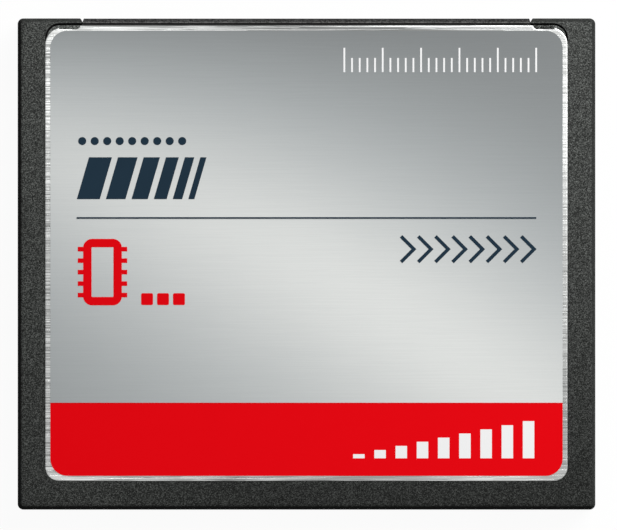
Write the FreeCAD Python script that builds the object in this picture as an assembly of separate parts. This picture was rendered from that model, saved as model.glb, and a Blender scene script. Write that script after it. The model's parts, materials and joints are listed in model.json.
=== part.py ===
"""Memory card of the fifty-pin type, built as the real one is assembled.

Two moulded frame halves each hold a drawn steel cover and close on a circuit board.
A socket housing with two rows of contacts sits at the card's front edge.
The card lies flat with its label up: X across, Y towards the sockets, Z up.
All sizes are in millimetres, and the origin is the centre of the underside.
Each piece is modelled about the card's mid plane, as if for the top side.
A piece of the bottom side is then turned over about Y, and all are lifted in place.
"""

import FreeCAD, Part

import math
import os

V = FreeCAD.Vector

# Card envelope
card_width = 42.80
card_length = 36.40
card_thickness = 3.30
corner_radius = 0.42
seam_chamfer = 0.04

# Bands of the frame that show round the steel covers
side_band = 2.03
rear_band = 2.11
front_bar = 0.36
cover_gap = 0.16
cover_step = 0.26
bar_corner_radius = 1.10
top_cover_proud = 0.05
bottom_rim_proud = 0.10
ledge_drop = 0.10
ledge_groove_depth = 0.25

# Steel covers
sheet = 0.20
cover_corner_radius = 1.05
cover_front_radius = 1.35
cover_front_drop = 0.12
relief_length = 1.51
cover_edge_bevel = 0.10
flange_depth = 0.70
flange_front_setback = 1.60
anchor_length = 1.60
anchor_width = 0.30
anchor_count = 3

# Printed label
label_thickness = 0.07
ink_thickness = 0.03
label_margin = 0.41
label_corner_radius = 1.26
red_band_height = 5.41
rule_thickness = 0.12
rule_margin = 1.95
rule_drop = 13.80
mark_count = 9
mark_width = 0.85
mark_pitch = 1.57
mark_height = 2.75
mark_side_gap = 2.10
mark_rear_gap = 1.30

# Guide grooves in the two sides
groove_depth = 0.76
groove_length = 25.78
left_groove_height = 1.60
right_groove_height = 0.99

# Inside of the frame halves
side_wall = 1.80
rear_wall = 1.90
shelf_width = 0.90
slip = 0.05
tongue_width = 0.30
tongue_height = 0.20
tongue_inset = 0.35
lug_width = 0.60
lug_length = 1.60
lug_spacing = 17.00
lug_reach = 0.25

# Socket housing, which stands between the frame's two front arms
arm_width = 4.77
contact_pitch = 1.27
row_spacing = 1.27
end_wall = 1.39
housing_depth = 6.67
housing_setback = 0.03
notch_width = 0.14
notch_depth = 0.29
nose_depth = 1.25
ear_gap = 1.25
wing_length = 1.80
wing_width = 1.90
wing_height = 0.80
peg_radius = 0.40
peg_reach = 0.25
mouth_size = 0.88
mouth_depth = 0.22
bore_size = 0.62
bore_depth = 4.35

# Contacts
contact_width = 0.30
contact_height = 0.50
contact_setback = 0.95
beam_thickness = 0.08
fork_depth = 3.00
tail_run = 0.45
tail_thickness = 0.15
foot_length = 0.95

# Circuit board and the insulating films over it
board_thickness = 0.50
board_corner_radius = 0.50
film_thickness = 0.05
film_inset = 0.30

# Chip packages
chip_headroom = 0.05
package_draft = 0.10
memory_standoff = 0.05
memory_length = 18.40
memory_width = 12.00
memory_lead_pitch = 0.50
memory_lead_margin = 0.25
memory_lead_width = 0.22
controller_size = 10.00
lead_thickness = 0.13
lead_reach = 0.80
lead_shoulder = 0.20
lead_foot = 0.42
chip_side_gap = 0.22
chip_front_gap = 5.20

# Voltage regulator
regulator_standoff = 0.05
regulator_length = 2.90
regulator_width = 1.60
regulator_height = 0.80
regulator_lead_width = 0.40
regulator_lead_pitch = 0.95
regulator_rear_gap = 2.60

# Small ceramic pieces on the board
capacitor_length = 1.60
capacitor_width = 0.80
capacitor_height = 0.75
capacitor_end = 0.30
capacitor_count = 5
capacitor_pitch = 4.20
capacitor_rear_gap = 2.20
network_length = 3.20
network_width = 1.20
network_height = 0.50
network_end = 0.22
network_end_width = 0.40
network_pairs = 4
network_count = 4
network_pitch = 7.60
network_front_gap = 3.20

# Levels above the mid plane that follow from the sizes above
mid_plane = card_thickness / 2
label_face = card_thickness / 2
cover_outer = label_face - label_thickness - ink_thickness
cover_inner = cover_outer - sheet
top_rim = cover_outer - top_cover_proud
bottom_rim = cover_outer + bottom_rim_proud
film_face = cover_inner - film_thickness
board_face = board_thickness / 2
chip_top = film_face - chip_headroom
housing_half_height = cover_inner - slip

# Places in plan that follow from the sizes above
half_width = card_width / 2
half_length = card_length / 2
cover_half_width = half_width - side_band
cover_rear = -half_length + rear_band
bar_rear = half_length - front_bar
cover_front = bar_rear - cover_gap
cover_shoulder = cover_front - cover_step
cover_brow = cover_front - cover_front_drop
flange_front = cover_shoulder - flange_front_setback
label_half_width = cover_half_width - label_margin
label_rear = cover_rear + label_margin
label_front = cover_front - label_margin
print_face = cover_outer + label_thickness

split_x = half_width - arm_width
housing_front = half_length - housing_setback
housing_rear = housing_front - housing_depth
nose_rear = half_length - nose_depth
bore_rear = housing_front - bore_depth
contact_front = housing_front - contact_setback

inner_half_width = half_width - side_wall
housing_half_width = inner_half_width - ear_gap
inner_rear = -half_length + rear_wall
shelf_half_width = inner_half_width - shelf_width
shelf_rear = inner_rear + shelf_width
board_half_width = inner_half_width - slip
board_rear = inner_rear + slip
board_front = housing_rear - slip
lug_middle = (board_front + board_rear) / 2
peg_x = housing_half_width - wing_width / 2
peg_y = housing_rear - wing_length / 2

anchor_field = cover_half_width - sheet - anchor_width - chip_side_gap
chip_field = min(anchor_field, shelf_half_width - slip)
memory_x = chip_field - lead_reach - memory_length / 2
controller_x = controller_size / 2 - chip_field
chip_y = board_front - chip_front_gap - memory_width / 2
regulator_y = chip_y - controller_size / 2 - regulator_rear_gap

TOP = 1
BOTTOM = -1
HANDS = (-1, 1)


def placed(shape, side=TOP):
    """Lift a piece from the mid plane to its place, turned over for the bottom."""
    done = shape.copy()
    if side == BOTTOM:
        done.rotate(V(0, 0, 0), V(0, 1, 0), 180)
    done.translate(V(0, 0, mid_plane))
    return done


def block(x0, x1, y0, y1, z0, z1):
    """Return a box between two corners."""
    return Part.makeBox(x1 - x0, y1 - y0, z1 - z0, V(x0, y0, z0))


def side_block(hand, x_in, x_out, y0, y1, z0, z1):
    """Return a box on the left or right, given its inner and outer distance."""
    xs = sorted((hand * x_in, hand * x_out))
    return block(xs[0], xs[1], y0, y1, z0, z1)


def arc(cx, cy, radius, start_deg, end_deg, z):
    """Return an arc edge about a centre, between two angles."""
    angles = [math.radians(a) for a in (start_deg, (start_deg + end_deg) / 2, end_deg)]
    ends = [V(cx + radius * math.cos(a), cy + radius * math.sin(a), z) for a in angles]
    return Part.Arc(*ends).toShape()


def line(x0, y0, x1, y1, z):
    """Return a straight edge at one height."""
    return Part.LineSegment(V(x0, y0, z), V(x1, y1, z)).toShape()


def prism(points, z0, z1):
    """Return an upright prism over a plan given as X, Y points."""
    ring = [V(x, y, z0) for x, y in points + points[:1]]
    return Part.Face(Part.makePolygon(ring)).extrude(V(0, 0, z1 - z0))


def side_profile(points, x0, x1):
    """Return a prism along X over an outline given as Y, Z points."""
    ring = [V(x0, y, z) for y, z in points + points[:1]]
    return Part.Face(Part.makePolygon(ring)).extrude(V(x1 - x0, 0, 0))


def rounded_slab(x0, x1, y0, y1, radius, z0, z1):
    """Return an upright slab with a rounded rectangle for its plan."""
    edges = [
        line(x0 + radius, y0, x1 - radius, y0, z0),
        arc(x1 - radius, y0 + radius, radius, -90, 0, z0),
        line(x1, y0 + radius, x1, y1 - radius, z0),
        arc(x1 - radius, y1 - radius, radius, 0, 90, z0),
        line(x1 - radius, y1, x0 + radius, y1, z0),
        arc(x0 + radius, y1 - radius, radius, 90, 180, z0),
        line(x0, y1 - radius, x0, y0 + radius, z0),
        arc(x0 + radius, y0 + radius, radius, 180, 270, z0),
    ]
    return Part.Face(Part.Wire(edges)).extrude(V(0, 0, z1 - z0))


def level_edges(shape, z):
    """Return the edges of a shape that lie wholly at one height."""
    near = 1e-6
    boxes = [(edge, edge.BoundBox) for edge in shape.Edges]
    return [e for e, b in boxes if abs(b.ZMin - z) < near and abs(b.ZMax - z) < near]


def cover_slab(z0, z1):
    """Return the cover's plan as a slab: a rounded panel with a wide front tab.

    Beside the tab a shallow relief is cut in the front edge, and a hollow round
    joins the two. The front corner's arc is cut off where it meets the relief.
    """
    hw = cover_half_width
    r = cover_corner_radius
    brow = cover_front_radius
    tab = split_x + cover_gap
    round_x = tab + cover_step
    relief_x = tab + relief_length
    arc_x = hw - brow
    arc_y = cover_brow - brow
    past = max(0, relief_x - arc_x)
    meet = math.degrees(math.acos(past / brow))
    meet_y = arc_y + math.sqrt(brow**2 - past**2)
    edges = [
        line(-hw + r, cover_rear, hw - r, cover_rear, z0),
        arc(hw - r, cover_rear + r, r, -90, 0, z0),
        line(hw, cover_rear + r, hw, arc_y, z0),
        arc(arc_x, arc_y, brow, 0, meet, z0),
        line(arc_x + past, meet_y, arc_x + past, cover_shoulder, z0),
        line(arc_x + past, cover_shoulder, round_x, cover_shoulder, z0),
        arc(round_x, cover_front, cover_step, 270, 180, z0),
        line(tab, cover_front, -tab, cover_front, z0),
        arc(-round_x, cover_front, cover_step, 0, -90, z0),
        line(-round_x, cover_shoulder, -arc_x - past, cover_shoulder, z0),
        line(-arc_x - past, cover_shoulder, -arc_x - past, meet_y, z0),
        arc(-arc_x, arc_y, brow, 180 - meet, 180, z0),
        line(-hw, arc_y, -hw, cover_rear + r, z0),
        arc(-hw + r, cover_rear + r, r, 180, 270, z0),
    ]
    return Part.Face(Part.Wire(edges)).extrude(V(0, 0, z1 - z0))


def make_cover():
    """Return one drawn steel cover: panel, turned flanges and anchor tabs."""
    flange_end = cover_outer - flange_depth
    pan = cover_slab(flange_end, cover_outer)
    pan = pan.makeChamfer(cover_edge_bevel, level_edges(pan, cover_outer))
    hollow = rounded_slab(
        -cover_half_width + sheet,
        cover_half_width - sheet,
        cover_rear + sheet,
        half_length,
        cover_corner_radius - sheet,
        flange_end,
        cover_inner,
    )
    open_front = block(
        -half_width, half_width, flange_front, half_length, flange_end, cover_inner
    )
    pan = pan.cut([hollow, open_front])
    flange_inside = cover_half_width - sheet
    first = cover_rear + cover_corner_radius
    spacing = (flange_front - first) / anchor_count
    anchors = []
    for index in range(anchor_count):
        y = first + spacing * (index + 0.5)
        for hand in HANDS:
            anchors.append(
                side_block(
                    hand,
                    flange_inside - anchor_width,
                    flange_inside,
                    y - anchor_length / 2,
                    y + anchor_length / 2,
                    flange_end,
                    flange_end + sheet,
                )
            )
    return pan.fuse(anchors).removeSplitter()


def guide_groove(hand, height):
    """Return the upper half of a guide groove's space, open at the front end."""
    return side_block(
        hand,
        half_width - groove_depth,
        half_width + slip,
        half_length - groove_length,
        half_length + slip,
        -slip,
        height / 2,
    )


def housing_room(rim):
    """Return the room that a frame half leaves for the socket housing."""
    pocket = block(
        -housing_half_width - slip,
        housing_half_width + slip,
        board_front,
        nose_rear,
        -slip,
        rim + slip,
    )
    flare_x = split_x + notch_width
    flare_y = half_length - notch_depth
    ahead = half_length + slip
    plan = [
        (-split_x, nose_rear - slip),
        (split_x, nose_rear - slip),
        (split_x, flare_y),
        (flare_x, half_length),
        (flare_x, ahead),
        (-flare_x, ahead),
        (-flare_x, half_length),
        (-split_x, flare_y),
    ]
    return pocket.fuse(prism(plan, -slip, rim + slip))


def corner_recess(rim):
    """Return the low ledge and the fine groove round the cover's front corners."""
    hw = cover_half_width
    r = bar_corner_radius
    above = rim + slip
    ledge = rim - ledge_drop
    groove_floor = ledge - ledge_groove_depth
    rear = cover_shoulder - 2 * cover_corner_radius
    step = rounded_slab(-hw, hw, rear, bar_rear, r, ledge, above)
    outer = rounded_slab(-hw, hw, rear, bar_rear, r, groove_floor, above)
    inner = rounded_slab(
        -hw + cover_gap,
        hw - cover_gap,
        rear - cover_gap,
        bar_rear - cover_gap,
        r - cover_gap,
        groove_floor,
        above,
    )
    return step.fuse(outer.cut(inner))


def weld_tongue(grow, front_end, z0, z1):
    """Return the tongue that runs round three sides, grown for its groove."""
    mid_x = inner_half_width + tongue_inset + tongue_width / 2
    mid_y = inner_rear - tongue_inset - tongue_width / 2
    half = tongue_width / 2 + grow
    outer = block(-mid_x - half, mid_x + half, mid_y - half, front_end, z0, z1)
    inner = block(-mid_x + half, mid_x - half, mid_y + half, front_end, z0, z1)
    return outer.cut(inner)


def locating_lugs(grow, z0, z1):
    """Return the four lugs on the side walls, grown for what they pass through."""
    return [
        side_block(
            hand,
            inner_half_width - lug_width - grow,
            inner_half_width,
            lug_middle + end * lug_spacing / 2 - lug_length / 2 - grow,
            lug_middle + end * lug_spacing / 2 + lug_length / 2 + grow,
            z0,
            z1,
        )
        for hand in HANDS
        for end in HANDS
    ]


def half_frame(rim, left_height, right_height):
    """Return one moulded frame half with its cover bed, shelves and side grooves.

    One radius rounds its corners in plan and its outer edges, so each corner is a ball.
    """
    body = rounded_slab(
        -half_width, half_width, -half_length, half_length, corner_radius, 0, rim
    )
    body = body.makeFillet(corner_radius, level_edges(body, rim))
    body = body.makeChamfer(seam_chamfer, level_edges(body, 0))
    window = block(
        -shelf_half_width, shelf_half_width, shelf_rear, nose_rear - slip, 0, rim
    )
    board_room = block(
        -inner_half_width, inner_half_width, inner_rear, board_front, 0, board_face
    )
    return body.cut(
        [
            window,
            board_room,
            housing_room(rim),
            cover_slab(cover_inner, rim + slip),
            corner_recess(rim),
            make_cover(),
            guide_groove(-1, left_height),
            guide_groove(1, right_height),
        ]
    )


def make_top_frame():
    """Return the top frame half, with pockets for the lugs and the tongue."""
    frame = half_frame(top_rim, left_groove_height, right_groove_height)
    pockets = locating_lugs(slip, board_face, board_face + lug_reach + slip)
    pockets.append(weld_tongue(slip / 2, nose_rear, 0, tongue_height + slip / 2))
    return frame.cut(pockets)


def make_bottom_frame():
    """Return the bottom frame half, with its locating lugs and weld tongue."""
    frame = half_frame(bottom_rim, right_groove_height, left_groove_height)
    lugs = locating_lugs(0, -board_face - lug_reach, board_face)
    tongue = weld_tongue(0, nose_rear - slip, -tongue_height, 0)
    return frame.fuse(lugs + [tongue]).removeSplitter()


def spread(count, pitch):
    """Return evenly spaced places about zero."""
    return [(index - (count - 1) / 2) * pitch for index in range(count)]


def fitting_count(room, pitch):
    """Return how many places of one pitch fit in a room, ends included."""
    return int(room / pitch + 1e-6) + 1


def contact_places():
    """Return the X of each contact in a row, as many as fit between the arms."""
    count = fitting_count(2 * (split_x - end_wall), contact_pitch)
    return spread(count, contact_pitch)


def socket_space(x, z):
    """Return the space of one socket: flared mouth, square bore and stem slot."""
    mouth = mouth_size / 2
    bore = bore_size / 2
    bore_front = housing_front - mouth_depth
    flare = Part.makeWedge(
        x - bore,
        bore_front,
        z - bore,
        z - mouth,
        x - mouth,
        x + bore,
        housing_front,
        z + bore,
        z + mouth,
        x + mouth,
    )
    shaft = block(x - bore, x + bore, bore_rear, bore_front, z - bore, z + bore)
    slim = contact_width / 2
    tall = contact_height / 2
    slot = block(x - slim, x + slim, housing_rear, bore_rear, z - tall, z + tall)
    return flare.fuse([shaft, slot])


def make_housing():
    """Return the moulded socket housing with its front lip, wings and pegs."""
    front_half = split_x - slip
    body = block(
        -housing_half_width,
        housing_half_width,
        housing_rear,
        nose_rear - slip,
        -housing_half_height,
        housing_half_height,
    )
    neck = block(
        -front_half,
        front_half,
        nose_rear - slip,
        bar_rear,
        -housing_half_height,
        housing_half_height,
    )
    tip_x = split_x - notch_width
    tip_y = half_length - notch_depth
    lip_plan = [
        (-front_half, bar_rear),
        (front_half, bar_rear),
        (front_half, tip_y),
        (tip_x, housing_front),
        (-tip_x, housing_front),
        (-front_half, tip_y),
    ]
    pieces = [neck, prism(lip_plan, -bottom_rim + slip / 2, top_rim)]
    for hand in HANDS:
        pieces.append(
            side_block(
                hand,
                housing_half_width - wing_width,
                housing_half_width,
                housing_rear - wing_length,
                housing_rear,
                board_face,
                board_face + wing_height,
            )
        )
        peg_end = V(hand * peg_x, peg_y, -board_face - peg_reach)
        pieces.append(Part.makeCylinder(peg_radius, peg_reach + board_thickness, peg_end))
    housing = body.fuse(pieces).removeSplitter()
    spaces = [
        socket_space(x, side * row_spacing / 2)
        for side in (TOP, BOTTOM)
        for x in contact_places()
    ]
    return housing.cut(spaces)


def make_contacts():
    """Return one row of stamped fork contacts with tails bent to the board."""
    centre = row_spacing / 2
    half = contact_height / 2
    foot_front = housing_rear - tail_run
    foot_rear = foot_front - foot_length
    outline = [
        (contact_front, centre + half),
        (housing_rear, centre + half),
        (foot_front, board_face + tail_thickness),
        (foot_rear, board_face + tail_thickness),
        (foot_rear, board_face),
        (foot_front + tail_thickness, board_face),
        (housing_rear, centre - half),
        (contact_front, centre - half),
        (contact_front, centre - half + beam_thickness),
        (contact_front - fork_depth, centre),
        (contact_front, centre + half - beam_thickness),
    ]
    slim = contact_width / 2
    blades = [side_profile(outline, x - slim, x + slim) for x in contact_places()]
    return Part.makeCompound(blades)


def make_board():
    """Return the board, with holes for the housing's pegs and edge notches."""
    board = rounded_slab(
        -board_half_width,
        board_half_width,
        board_rear,
        board_front,
        board_corner_radius,
        -board_face,
        board_face,
    )
    holes = [
        Part.makeCylinder(
            peg_radius + slip, board_thickness, V(hand * peg_x, peg_y, -board_face)
        )
        for hand in HANDS
    ]
    return board.cut(locating_lugs(slip, -board_face, board_face) + holes)


def make_film():
    """Return the insulating film that lines the inside of one cover."""
    return block(
        -shelf_half_width + film_inset,
        shelf_half_width - film_inset,
        shelf_rear + film_inset,
        housing_rear - film_inset,
        film_face,
        cover_inner,
    )


def make_package(cx, cy, length, width, standoff, top):
    """Return a moulded chip body whose sides slope both ways from its waist."""
    base = board_face + standoff
    waist = (base + top - lead_thickness) / 2
    sections = [
        (base, package_draft),
        (waist, 0),
        (waist + lead_thickness, 0),
        (top, package_draft),
    ]
    rings = []
    for z, inset in sections:
        hx = length / 2 - inset
        hy = width / 2 - inset
        corners = [(-hx, -hy), (hx, -hy), (hx, hy), (-hx, hy), (-hx, -hy)]
        rings.append(Part.makePolygon([V(cx + x, cy + y, z) for x, y in corners]))
    return Part.makeLoft(rings, True, True)


def make_memory_chip(cx):
    """Return the body of a memory chip at one place across the board."""
    return make_package(
        cx, chip_y, memory_length, memory_width, memory_standoff, chip_top
    )


def make_controller_chip():
    """Return the controller's body, a leadless package soldered flat."""
    size = controller_size
    return make_package(controller_x, chip_y, size, size, 0, chip_top)


def make_lead(base, waist, width):
    """Return one lead from the body's waist down to the board, along +X.

    Its inner end stands at X zero, and it is centred across Y.
    """
    half = lead_thickness / 2
    knee = lead_reach - lead_foot
    outline = [
        (0, waist + half),
        (lead_shoulder + half, waist + half),
        (knee + half, base + lead_thickness),
        (lead_reach, base + lead_thickness),
        (lead_reach, base),
        (knee - half, base),
        (lead_shoulder - half, waist - half),
        (0, waist - half),
    ]
    ring = [V(x, -width / 2, z) for x, z in outline + outline[:1]]
    return Part.Face(Part.makePolygon(ring)).extrude(V(0, width, 0))


def make_leads(cx, cy, rows, standoff, top, width):
    """Return all leads of a package.

    Each row holds its turn about Z, the reach of the package's face from the
    centre, the number of leads and their pitch.
    """
    waist = (board_face + standoff + top) / 2
    leads = []
    for turn, reach, count, pitch in rows:
        for offset in spread(count, pitch):
            lead = make_lead(board_face, waist, width)
            lead.translate(V(reach, offset, 0))
            lead.rotate(V(0, 0, 0), V(0, 0, 1), turn)
            lead.translate(V(cx, cy, 0))
            leads.append(lead)
    return Part.makeCompound(leads)


def make_memory_leads(cx):
    """Return the two rows of leads of a memory chip."""
    half = memory_length / 2
    room = memory_width - 2 * memory_lead_margin
    count = fitting_count(room, memory_lead_pitch)
    rows = [(turn, half, count, memory_lead_pitch) for turn in (0, 180)]
    return make_leads(cx, chip_y, rows, memory_standoff, chip_top, memory_lead_width)


def make_regulator():
    """Return the voltage regulator's body and its three and two leads."""
    top = min(board_face + regulator_standoff + regulator_height, chip_top)
    sizes = (regulator_length, regulator_width)
    body = make_package(controller_x, regulator_y, *sizes, regulator_standoff, top)
    half = regulator_width / 2
    rows = [
        (90, half, 3, regulator_lead_pitch),
        (270, half, 2, regulator_lead_pitch * 2),
    ]
    leads = make_leads(
        controller_x, regulator_y, rows, regulator_standoff, top, regulator_lead_width
    )
    return body, leads


def make_capacitors():
    """Return one side's ceramic capacitors: their bodies and tinned ends."""
    half = capacitor_length / 2
    inner = half - capacitor_end
    wide = capacitor_width / 2
    y = board_rear + capacitor_rear_gap
    z0 = board_face
    z1 = board_face + capacitor_height
    bodies = []
    ends = []
    for x in spread(capacitor_count, capacitor_pitch):
        bodies.append(block(x - wide, x + wide, y - inner, y + inner, z0, z1))
        for y0, y1 in ((y - half, y - inner), (y + inner, y + half)):
            ends.append(block(x - wide, x + wide, y0, y1, z0, z1))
    return bodies, ends


def make_networks():
    """Return the resistor networks behind the sockets: bodies and tinned ends."""
    y = board_front - network_front_gap
    half = network_width / 2
    inner = half - network_end
    wide = network_end_width / 2
    z0 = board_face
    z1 = board_face + network_height
    bodies = []
    ends = []
    for x in spread(network_count, network_pitch):
        length = network_length / 2
        bodies.append(block(x - length, x + length, y - inner, y + inner, z0, z1))
        for offset in spread(network_pairs, network_length / network_pairs):
            left = x + offset - wide
            right = x + offset + wide
            for y0, y1 in ((y - half, y - inner), (y + inner, y + half)):
                ends.append(block(left, right, y0, y1, z0, z1))
    return bodies, ends


def make_label():
    """Return the silver label, a rounded sheet stuck on the top cover."""
    return rounded_slab(
        -label_half_width,
        label_half_width,
        label_rear,
        label_front,
        label_corner_radius,
        cover_outer,
        print_face,
    )


def printed(x0, x1, y0, y1):
    """Return one printed rectangle on the label's face."""
    return block(x0, x1, y0, y1, print_face, print_face + ink_thickness)


def make_rule_line():
    """Return the thin dark line printed across the label."""
    x = label_half_width - rule_margin
    y = label_front - rule_drop
    return printed(-x, x, y - rule_thickness, y)


def make_band_marks():
    """Return the rising row of pale bars at the right of the red band."""
    right = label_half_width - mark_side_gap
    rear = label_rear + mark_rear_gap
    marks = []
    for index in range(mark_count):
        x1 = right - index * mark_pitch
        height = mark_height * (mark_count - index) / mark_count
        marks.append(printed(x1 - mark_width, x1, rear, rear + height))
    return Part.makeCompound(marks)


def make_red_band():
    """Return the band printed along the label's rear edge, open round its marks."""
    x = label_half_width
    r = label_corner_radius
    z = print_face
    front = label_rear + red_band_height
    edges = [
        line(-x + r, label_rear, x - r, label_rear, z),
        arc(x - r, label_rear + r, r, -90, 0, z),
        line(x, label_rear + r, x, front, z),
        line(x, front, -x, front, z),
        line(-x, front, -x, label_rear + r, z),
        arc(-x + r, label_rear + r, r, 180, 270, z),
    ]
    band = Part.Face(Part.Wire(edges)).extrude(V(0, 0, ink_thickness))
    return band.cut(make_band_marks())


def both_sides(shapes):
    """Return one group with the shapes on the top and again on the bottom."""
    copies = [placed(shape, side) for side in (TOP, BOTTOM) for shape in shapes]
    return Part.makeCompound(copies)


def build():
    """Return every sub-part of the card by name."""
    capacitors, capacitor_ends = make_capacitors()
    networks, network_ends = make_networks()
    regulator, regulator_leads = make_regulator()
    return {
        "top_frame": placed(make_top_frame()),
        "bottom_frame": placed(make_bottom_frame(), BOTTOM),
        "top_cover": placed(make_cover()),
        "bottom_cover": placed(make_cover(), BOTTOM),
        "label": placed(make_label()),
        "label_red_band": placed(make_red_band()),
        "label_band_marks": placed(make_band_marks()),
        "label_rule_line": placed(make_rule_line()),
        "top_insulating_film": placed(make_film()),
        "bottom_insulating_film": placed(make_film(), BOTTOM),
        "socket_housing": placed(make_housing()),
        "top_row_contacts": placed(make_contacts()),
        "bottom_row_contacts": placed(make_contacts(), BOTTOM),
        "circuit_board": placed(make_board()),
        "top_memory_chip": placed(make_memory_chip(memory_x)),
        "top_memory_leads": placed(make_memory_leads(memory_x)),
        "bottom_memory_chip": placed(make_memory_chip(0), BOTTOM),
        "bottom_memory_leads": placed(make_memory_leads(0), BOTTOM),
        "controller_chip": placed(make_controller_chip()),
        "voltage_regulator": placed(regulator),
        "regulator_leads": placed(regulator_leads),
        "ceramic_capacitors": both_sides(capacitors),
        "capacitor_ends": both_sides(capacitor_ends),
        "resistor_networks": placed(Part.makeCompound(networks)),
        "resistor_network_ends": placed(Part.makeCompound(network_ends)),
    }


def main():
    """Write one STEP file for each sub-part."""
    os.makedirs("parts", exist_ok=True)
    for name, shape in build().items():
        shape.exportStep(os.path.join("parts", name + ".step"))
        print(name, len(shape.Solids), "solids", round(shape.Volume, 3), "mm3")


main()
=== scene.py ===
"""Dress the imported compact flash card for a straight-down studio picture.

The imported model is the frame, and its moulded, stamped and soldered pieces are kept.
Each gets a worked material here. New pieces are the two pressed steel covers with
rounded edges, the flash that the mould left on one ledge, and the flat shapes printed
on the label. Sizes are in millimetres until a mesh is made, which is in metres.
"""

from __future__ import annotations

import json
import logging
import math
from dataclasses import dataclass, field
from enum import Enum
from typing import Union

import bmesh
import bpy
import numpy as np
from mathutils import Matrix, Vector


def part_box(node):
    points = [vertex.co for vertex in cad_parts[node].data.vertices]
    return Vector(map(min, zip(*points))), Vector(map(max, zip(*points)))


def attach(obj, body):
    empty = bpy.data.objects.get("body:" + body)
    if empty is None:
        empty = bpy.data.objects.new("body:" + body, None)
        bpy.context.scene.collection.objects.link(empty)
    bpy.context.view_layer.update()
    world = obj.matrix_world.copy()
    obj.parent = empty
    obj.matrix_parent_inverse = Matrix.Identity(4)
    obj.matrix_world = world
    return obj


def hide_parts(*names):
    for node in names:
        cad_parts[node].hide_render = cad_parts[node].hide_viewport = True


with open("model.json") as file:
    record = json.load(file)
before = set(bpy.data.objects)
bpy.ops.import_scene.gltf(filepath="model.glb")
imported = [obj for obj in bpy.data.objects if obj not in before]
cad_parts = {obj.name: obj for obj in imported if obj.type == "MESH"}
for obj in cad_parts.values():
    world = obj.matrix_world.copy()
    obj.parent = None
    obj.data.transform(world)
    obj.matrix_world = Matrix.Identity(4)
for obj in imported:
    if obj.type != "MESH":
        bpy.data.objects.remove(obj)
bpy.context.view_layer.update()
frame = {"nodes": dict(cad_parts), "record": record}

log = logging.getLogger("compact_flash_card")

MM = 0.001
WELD = 1e-7  # in metres: points closer than this are one
BODY = "root"

Pair = tuple[float, float]
Triple = tuple[float, float, float]
Colour = Triple
# A painted highlight or painted shade spot: X, Y, width and amount.
PaintedGlint = tuple[float, float, float, float]
Socket = bpy.types.NodeSocket
Value = Union[Socket, float, tuple[float, ...]]
Pattern = tuple[Socket, Socket, Socket]


class Slot(Enum):
    """Material slots of the record that pieces take their finish from."""

    FRAME = "frame_plastic"
    STEEL = "cover_steel"
    FOIL = "label_foil"
    RED = "red_ink"
    WHITE = "white_ink"
    NAVY = "navy_ink"
    HOUSING = "housing_plastic"
    CONTACT = "contact_metal"
    BOARD = "board_laminate"
    RESIN = "chip_resin"
    TIN = "tinned_metal"
    CAPACITOR = "capacitor_ceramic"
    RESISTOR = "resistor_ceramic"
    FILM = "insulating_film"


class Side(Enum):
    """The side of the card that a cover closes."""

    TOP = 1
    BOTTOM = -1


# Meshes from whole arrays


def add_object(name: str, data: bpy.types.ID) -> bpy.types.Object:
    """Put a mesh, lamp or camera in the scene as an object.

    Args:
        name: Name of the object.
        data: What it shows.

    Returns:
        The new object, at the origin.
    """
    made = bpy.data.objects.new(name, data)
    bpy.context.scene.collection.objects.link(made)
    return made


def band_quads(rings: int, points: int, closed: bool = False) -> np.ndarray:
    """Join neighbouring closed rings of points with quads.

    Ring i holds points i*n to i*n + n - 1, and each quad spans point j and j + 1 of
    ring i and i + 1. The last point joins the first.

    Args:
        rings: Number of rings.
        points: Points in each ring.
        closed: True if the last ring joins the first.

    Returns:
        Quads as rows of four vertex numbers.
    """
    spans = rings if closed else rings - 1
    ring = np.arange(spans)[:, None] * points
    following = (np.arange(spans)[:, None] + 1) % rings * points
    here = np.arange(points)[None, :]
    after = (here + 1) % points
    quads = [ring + here, ring + after, following + after, following + here]
    return np.stack(quads, axis=-1).reshape(-1, 4)


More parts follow.
